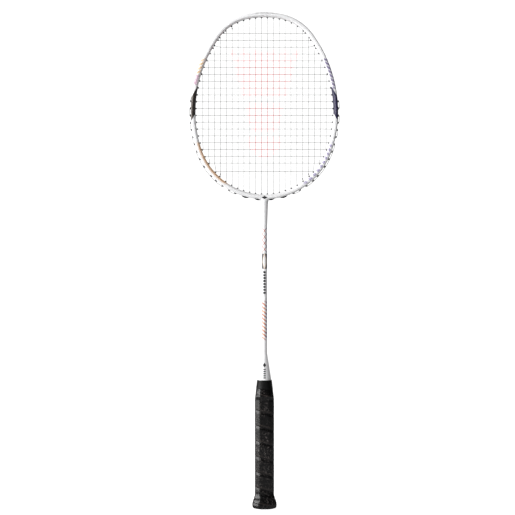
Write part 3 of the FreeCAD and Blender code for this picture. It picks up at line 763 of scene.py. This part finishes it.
def cone_plastic():
    """Smooth white plastic with a small diamond and short bars on its front."""
    paint = Paint("cone_plastic", WHITE, 0.38, Coat_Weight=0.3, Coat_Roughness=0.15)
    bars = paint.between(paint.repeat(paint.z, CONE_BAR_PITCH), 0.14, 0.74, soft=0.08)
    bars = paint.all(bars, paint.between(paint.x, -1.6, 1.6), paint.between(paint.z, *CONE_BARS))
    height = paint.absolute(paint.minus(paint.z, 195.5))
    diamond = paint.plus(paint.absolute(paint.x), paint.times(height, 0.7))
    mark = paint.math("MAXIMUM", bars, paint.below(diamond, 2.2, soft=0.3))
    front = paint.math("LESS_THAN", paint.y, 0.0)
    paint.color(paint.mix(paint.all(mark, front), WHITE, INK))
    paint.roughness(0.32, 0.46, paint.noise(0.3))
    paint.bump(paint.times(paint.noise(1.6), 0.015))
    return paint.material


CORK_LEVEL = 500.0
CORK_RADIUS = 22.0
CORK_TOP = 506.0
SKIRT_BOTTOM = 512.0
SKIRT_TOP = 614.0
SKIRT_HALF_WIDTH = 17.0
SKIRT_FLARE = 0.26
SCALLOPS = 5
SCALLOP_RISE = 12.0
SKIRT_RIBBON = (552.0, 561.0)


def shuttlecock(paint):
    """A shuttlecock's outline across the bed: a round cork under a flared, scalloped skirt."""
    up = paint.minus(paint.z, CORK_LEVEL)
    square = paint.plus(paint.times(paint.x, paint.x), paint.times(up, up))
    cork = paint.below(paint.math("SQRT", square), CORK_RADIUS, soft=0.6)
    cork = paint.all(cork, paint.below(paint.z, CORK_TOP, soft=0.6))
    half_width = paint.rising(paint.minus(paint.z, SKIRT_BOTTOM), SKIRT_FLARE, SKIRT_HALF_WIDTH)
    share = paint.over(paint.x, half_width)
    scallop = paint.absolute(paint.math("SINE", paint.times(share, math.pi * SCALLOPS / 2)))
    top = paint.rising(scallop, SCALLOP_RISE, SKIRT_TOP)
    skirt = paint.all(
        paint.below(paint.absolute(share), 1.0, soft=0.03),
        paint.step(paint.z, SKIRT_BOTTOM, soft=0.6),
        paint.step(paint.minus(top, paint.z), 0.0, soft=0.6))
    ribbon = paint.between(paint.z, *SKIRT_RIBBON, soft=0.6)
    return paint.plus(cork, paint.times(skirt, paint.inverse(ribbon)), clamp=True)


def string_nylon():
    """White coated string with the shuttlecock printed on it in thin red."""
    paint = Paint("string_nylon", NYLON, 0.28, Coat_Weight=0.4)
    wear_and_glints = paint.rising(paint.noise(0.35), 0.4, 0.7, clamp=True)
    paint.color(paint.mix(paint.times(shuttlecock(paint), wear_and_glints), NYLON, RED_INK))
    strands = paint.noise(3.0)
    paint.bump(paint.times(strands, 0.03))
    paint.roughness(0.22, 0.4, strands)
    return paint.material


def moulded_black(name, color, roughness, grain):
    paint = Paint(name, color, roughness, Specular_IOR_Level=0.2)
    speck = paint.noise(grain, detail=3.0)
    bright = tuple(c * 1.6 + 0.004 for c in color)
    paint.color(paint.mix(speck, color, bright))
    paint.roughness(roughness - 0.08, roughness + 0.1, speck)
    paint.bump(paint.times(speck, 0.02))
    return paint.material


def grip_leather():
    """Tacky synthetic wrap: pebbled and finely perforated, with painted highlight flecks in patches, a
    painted highlight along each turn's edge, and painted shade in its laps and perforations.
    """
    paint = Paint("grip_leather", BLACK, 0.2, Specular_IOR_Level=0.3)
    pebble = paint.cells(1.35, "SMOOTH_F1")
    fine = paint.noise(2.6, detail=3.0)
    turned = paint.stretched(HOLE_SCALE, HOLE_SCALE, HOLE_SCALE)
    holes = paint.below(paint.cells(1.0, "F1", 0.12, turned), 0.13, soft=0.06)
    height = paint.math("MULTIPLY_ADD", pebble, 0.06, paint.times(fine, 0.02))
    paint.bump(paint.minus(height, paint.times(holes, 0.2)))
    turn = paint.over(paint.math("ARCTAN2", paint.y, paint.x), math.tau)
    place = paint.math("FRACT", paint.plus(paint.over(paint.z, TURN_PITCH), turn))
    lap = paint.below(place, 0.02, soft=0.05)
    # Painted highlight: a lighter grey strip just above each lap, where the edge of the overlapping turn
    # catches the light.
    painted_edge_highlight = paint.between(place, 0.05, 0.14, soft=0.05)
    patches = paint.step(paint.noise(0.07), 0.36, soft=0.22)
    # Painted highlight: grey flecks in patches stand for glints on the pebbled skin.
    wear_and_glints = paint.all(paint.step(paint.noise(0.58, detail=4.0), 0.56, soft=0.05), patches)
    skin = paint.mix(paint.step(fine, 0.42, soft=0.2), DEEPEST_BLACK, SKIN_BLACK)
    skin = paint.mix(paint.times(wear_and_glints, 0.8), skin, PAINTED_GLINT_GREY)
    skin = paint.mix(paint.times(painted_edge_highlight, 0.5), skin, EDGE_HIGHLIGHT_GREY)
    # Painted shade: the perforations and each turn's lap line are painted the darkest black.
    paint.color(paint.mix(paint.math("MAXIMUM", holes, lap), skin, PAINTED_SHADE_BLACK))
    paint.roughness(0.14, 0.24, paint.plus(pebble, paint.times(wear_and_glints, 0.3)))
    return paint.material


def tape_fabric():
    """Black tape with a fine weave."""
    paint = Paint("tape_fabric", TAPE_BLACK, 0.36, Specular_IOR_Level=0.15)
    threads = [paint.math("SINE", paint.times(way, 9.0)) for way in (paint.z, paint.x)]
    paint.bump(paint.times(paint.times(*threads), 0.02))
    paint.color(paint.mix(paint.noise(0.8), BLACK, TAPE_GREY))
    paint.roughness(0.3, 0.46, paint.noise(1.1))
    return paint.material


def wood():
    """Pale wood with its grain along the handle."""
    paint = Paint("handle_wood", WOOD, 0.6)
    grain = paint.noise(1.3, detail=6.0, place=paint.stretched(1.0, 1.0, 0.06))
    paint.color(paint.mix(paint.step(grain, 0.35, soft=0.3), DARK_WOOD, PALE_WOOD))
    paint.bump(paint.times(grain, 0.05))
    paint.roughness(0.5, 0.7, grain)
    return paint.material


def steel():
    """Bright drawn wire."""
    paint = Paint("staple_steel", STEEL, 0.3, Metallic=1.0)
    drawn = paint.noise(2.0, place=paint.stretched(1.0, 1.0, 8.0))
    paint.roughness(0.22, 0.42, drawn)
    paint.bump(paint.times(drawn, 0.01))
    return paint.material


# ---------------------------------------------------------------- grip

HANDLE_WIDTH = 26.1
HANDLE_DEPTH = 22.5
GRIP_LOW, GRIP_HIGH = box_mm("grip_wrap")
TAPE_LOW, TAPE_HIGH = box_mm("finishing_tape")
HANDLE_TOP = 153.0
CONE_SEAT_LEVEL = 175.0
CONE_BASE = 21.2
CONE_SEAT = 18.8
COLLAR_WRAP = 2.0
TOP_WRAP = 0.5
COLLAR_CLIMB = 5.0
BUTT_LEVEL = 6.0
BUTT_RISE = 15.0
BUTT_ROUND = 4.0
BUTT_WIDTH = GRIP_HIGH.x - GRIP_LOW.x
BUTT_DEPTH = GRIP_HIGH.y - GRIP_LOW.y

# The octagon's bevels as shares of its half sizes, and how sharp its corners are: a higher number
# is a sharper corner.
BEVEL_X = 0.51
BEVEL_Y = 0.47
HANDLE_SHARPNESS = 34.0
COLLAR_SHARPNESS = 10.0
SOFTENING_LEVEL = 150.0
SOFTENING_RISE = 20.0

TURN_PITCH = 21.0
SEAM_DEPTH = 0.5
LAP_SHARE = 0.05
FALL_SHARE = 0.20
FALL_DEPTH = 0.45
SEAM_START = 4.0
COLLAR_FADE = 0.6
COLLAR_FADE_RUN = 9.0
TAPE_FADE_RUN = 3.0
LINE_LEVEL = 14.0
LINE_DEPTH = 0.6
LINE_HALF_WIDTH = 1.1
WRAP_THICKNESS = 1.2
WRAP_STOP = 1.0
TAPE_RISE = 0.18
TAPE_THICKNESS = 0.22


def eased(value):
    value = min(1, max(0, value))
    return value * value * (3 - 2 * value)


def collar_radius(z):
    """The wrap's radius where it climbs over the cone's foot."""
    share = min(1, max(0, (z - HANDLE_TOP) / (CONE_SEAT_LEVEL - HANDLE_TOP)))
    cone = (CONE_BASE + (CONE_SEAT - CONE_BASE) * share) / 2
    return cone + COLLAR_WRAP + (TOP_WRAP - COLLAR_WRAP) * share


def grip_half_sizes(z):
    """Half width and half depth of the wrapped handle at a level."""
    if z < BUTT_LEVEL:
        flare = 1.0
    else:
        flare = 0.5 + 0.5 * math.cos(math.pi * min(1, (z - BUTT_LEVEL) / BUTT_RISE))
    short = max(0, BUTT_ROUND - (z - GRIP_LOW.z))
    rounding = BUTT_ROUND - math.sqrt(BUTT_ROUND ** 2 - short ** 2)
    collar = collar_radius(z)
    climb = eased((z - HANDLE_TOP + COLLAR_CLIMB) / COLLAR_CLIMB)
    sizes = []
    for straight, butt in ((HANDLE_WIDTH, BUTT_WIDTH), (HANDLE_DEPTH, BUTT_DEPTH)):
        half = (straight + (butt - straight) * flare) / 2
        sizes.append(half + (collar - half) * climb - rounding)
    return sizes


def grip_radius(z, turn):
    """Distance from the axis to a rounded octagon's skin."""
    width, depth = grip_half_sizes(z)
    x, y = math.cos(turn), math.sin(turn)
    bevel_x, bevel_y = width * BEVEL_X, depth * BEVEL_Y
    slope = math.hypot(bevel_x, bevel_y)
    normal = (bevel_y / slope, bevel_x / slope)
    reach = normal[0] * width + normal[1] * (depth - bevel_y)
    softening = eased((z - SOFTENING_LEVEL) / SOFTENING_RISE)
    sharpness = HANDLE_SHARPNESS - (HANDLE_SHARPNESS - COLLAR_SHARPNESS) * softening
    parts = [abs(x) / width, abs(y) / depth, (abs(x) * normal[0] + abs(y) * normal[1]) / reach]
    return sum(part ** sharpness for part in parts) ** (-1 / sharpness)


def seam(z, turn):
    """Depth of the wrap's surface below its crown: a step where each turn laps the one below."""
    place = (z / TURN_PITCH + turn / math.tau) % 1
    lap = 1 - eased(place / LAP_SHARE)
    fall = eased((place - (1 - FALL_SHARE)) / FALL_SHARE)
    return SEAM_DEPTH * max(lap, FALL_DEPTH * fall)


def wrapped_skin(z, turn):
    """The wrap's outside: its seams fade at both ends, and a shallow line runs round the flare."""
    fade = eased((z - GRIP_LOW.z) / SEAM_START)
    fade *= 1 - COLLAR_FADE * eased((z - HANDLE_TOP + COLLAR_FADE_RUN) / COLLAR_FADE_RUN)
    fade *= 1 - eased((z - TAPE_LOW.z + TAPE_FADE_RUN) / TAPE_FADE_RUN)
    line = LINE_DEPTH * (1 - eased(abs(z - LINE_LEVEL) / LINE_HALF_WIDTH))
    return grip_radius(z, turn) - seam(z, turn) * fade - line


def tape_skin(z, turn):
    return grip_radius(z, turn) + TAPE_RISE


def sleeve(low, high, outside, thickness, rows, columns):
    """A closed sleeve round the handle: outer skin, inner skin and both rims."""
    points = []
    faces = []
    for skin in (0, 1):
        for row in range(rows + 1):
            z = low + (high - low) * row / rows
            for column in range(columns):
                turn = math.tau * column / columns
                radius = outside(z, turn) - skin * thickness
                points.append((radius * math.cos(turn), radius * math.sin(turn), z))
    inner = (rows + 1) * columns
    for row in range(rows):
        for column in range(columns):
            a = row * columns + column
            b = row * columns + (column + 1) % columns
            faces.append((a, b, b + columns, a + columns))
            faces.append((inner + a + columns, inner + b + columns, inner + b, inner + a))
    top = rows * columns
    for a in range(columns):
        b = (a + 1) % columns
        faces.append((inner + a, inner + b, b, a))
        faces.append((top + a, top + b, inner + top + b, inner + top + a))
    return points, faces


# ---------------------------------------------------------------- studio

# Lengths in the studio are in metres.
FLOOR_HALF_WIDTH = 6.0
FLOOR_FRONT = -6.0
FLOOR_BACK = 3.2
FLOOR_BEND = 1.6
FLOOR_BEND_STEPS = 24
WALL_TOP = 9.0
FLOOR_COLOR = (0.6, 0.6, 0.6)
FLOOR_GLOW = 0.9
FLOOR_LEAST_GLOW = 0.04
AIR_STRENGTH = 0.05

# Name, place, width and height, and watts.
LIGHTS = [
    ("side_key", (-3.0, -0.9, 0.95), (1.6, 1.9), 86),
    ("high_fill", (-1.8, -2.6, 2.2), (2.0, 2.0), 100),
    ("weak_back", (1.9, 2.2, 1.7), (1.8, 1.8), 34),
]

VIEW_HEIGHT = 0.7006
VIEW_MIDDLE = (-0.0095, 0.3417)
LENS = 150
SENSOR_WIDTH = 36


def seen_directly(tree):
    """1 for what the lens sees straight, 0 for the light that it casts on the racket."""
    return tree.nodes.new("ShaderNodeLightPath").outputs["Is Camera Ray"]


def backdrop():
    """Pale floor that curves up behind the racket."""
    profile = [(FLOOR_FRONT, 0.0), (FLOOR_BACK, 0.0)]
    for step in range(1, FLOOR_BEND_STEPS + 1):
        turn = math.pi / 2 * step / FLOOR_BEND_STEPS
        y = FLOOR_BACK + FLOOR_BEND * math.sin(turn)
        profile.append((y, FLOOR_BEND * (1 - math.cos(turn))))
    profile.append((FLOOR_BACK + FLOOR_BEND, WALL_TOP))
    points = [(x, y, z) for x in (-FLOOR_HALF_WIDTH, FLOOR_HALF_WIDTH) for y, z in profile]
    count = len(profile)
    faces = [(row, count + row, count + row + 1, row + 1) for row in range(count - 1)]
    mesh = bpy.data.meshes.new("studio_floor")
    mesh.from_pydata(points, [], faces)
    mesh.shade_smooth()
    floor = bpy.data.objects.new("studio_floor", mesh)
    bpy.context.scene.collection.objects.link(floor)
    paint = Paint("studio_white", FLOOR_COLOR, 0.9)
    paint.roughness(0.86, 0.94, paint.noise(0.01))
    paint.shader.inputs["Emission Color"].default_value = (1, 1, 1, 1)
    glow = paint.rising(seen_directly(paint.tree), FLOOR_GLOW, FLOOR_LEAST_GLOW)
    paint.plug(paint.shader.inputs["Emission Strength"], glow)
    mesh.materials.append(paint.material)


def air():
    """White air that casts only a little light on the racket."""
    world = bpy.data.worlds.new("studio_air")
    world.use_nodes = True
    tree = world.node_tree
    sky = tree.nodes["Background"]
    sky.inputs[0].default_value = (1, 1, 1, 1)
    ray = tree.nodes.new("ShaderNodeMath")
    ray.operation = "MULTIPLY_ADD"
    ray.inputs[1].default_value = 1.0 - AIR_STRENGTH
    ray.inputs[2].default_value = AIR_STRENGTH
    tree.links.new(seen_directly(tree), ray.inputs[0])
    tree.links.new(ray.outputs[0], sky.inputs[1])
    bpy.context.scene.world = world


def soft_light(name, place, size, power):
    """An area light that faces the racket's middle."""
    data = bpy.data.lights.new(name, "AREA")
    data.shape = "RECTANGLE"
    data.size, data.size_y = size
    data.energy = power
    light = bpy.data.objects.new(name, data)
    light.location = place
    light.rotation_mode = "QUATERNION"
    middle = Vector((0, 0, HEAD_TOP * MM / 2))
    light.rotation_quaternion = (middle - Vector(place)).to_track_quat("-Z", "Y")
    bpy.context.scene.collection.objects.link(light)


def studio():
    backdrop()
    for light in LIGHTS:
        soft_light(*light)
    air()
    bpy.context.scene.view_settings.view_transform = "Standard"


def camera():
    """Square-on to the face; the whole racket stands a little right of the middle of the view."""
    data = bpy.data.cameras.new("camera")
    data.lens = LENS
    data.sensor_width = SENSOR_WIDTH
    eye = bpy.data.objects.new("camera", data)
    distance = VIEW_HEIGHT / SENSOR_WIDTH * LENS
    eye.location = (VIEW_MIDDLE[0], -distance, VIEW_MIDDLE[1])
    eye.rotation_euler = (math.pi / 2, 0, 0)
    bpy.context.scene.collection.objects.link(eye)
    bpy.context.scene.camera = eye


# ---------------------------------------------------------------- the racket

def finish_nodes():
    """Materials for the CAD nodes that stay."""
    nylon = moulded_black("grommet_nylon", (0.004, 0.004, 0.005), roughness=0.42, grain=2.2)
    looks = {
        "frame_hoop": lacquer(),
        "cone_cap": cone_plastic(),
        "handle_core": wood(),
        "t_joint": moulded_black("bare_composite", (0.02, 0.02, 0.022), roughness=0.5, grain=1.0),
        "butt_cap": moulded_black("cap_plastic", (0.006, 0.006, 0.007), roughness=0.5, grain=1.4),
        "butt_badge": moulded_black("badge_plastic", (0.10, 0.10, 0.105), roughness=0.3, grain=0.8),
        "cap_staples": steel(),
    }
    looks["throat_shell"] = looks["frame_hoop"]
    looks["shaft"] = looks["frame_hoop"]
    looks["grip_staple"] = looks["cap_staples"]
    for name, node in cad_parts.items():
        material = nylon if name.startswith("grommets") else looks.get(name)
        if material:
            node.data.materials.clear()
            node.data.materials.append(material)


def strings():
    """Both woven strings, each as one long tube."""
    nylon = string_nylon()
    for name, route, node in (("mains_woven", main_route(), "main_string"),
                              ("crosses_woven", cross_route(), "cross_string")):
        points, faces = string_mesh(rounded_line(route), STRING_RADIUS, sides=10)
        new_piece(name, points, faces, [node], "string_white", nylon)


def grip():
    """The wound grip and the tape that closes its upper end."""
    wrap = sleeve(GRIP_LOW.z, TAPE_HIGH.z - WRAP_STOP, wrapped_skin, WRAP_THICKNESS, rows=420, columns=256)
    new_piece("wrapped_grip", *wrap, ["grip_wrap"], "grip_black", grip_leather())
    tape = sleeve(TAPE_LOW.z, TAPE_HIGH.z, tape_skin, TAPE_THICKNESS, rows=24, columns=192)
    new_piece("end_tape", *tape, ["finishing_tape"], "tape_black", tape_fabric())


finish_nodes()
strings()
grip()
studio()
camera()
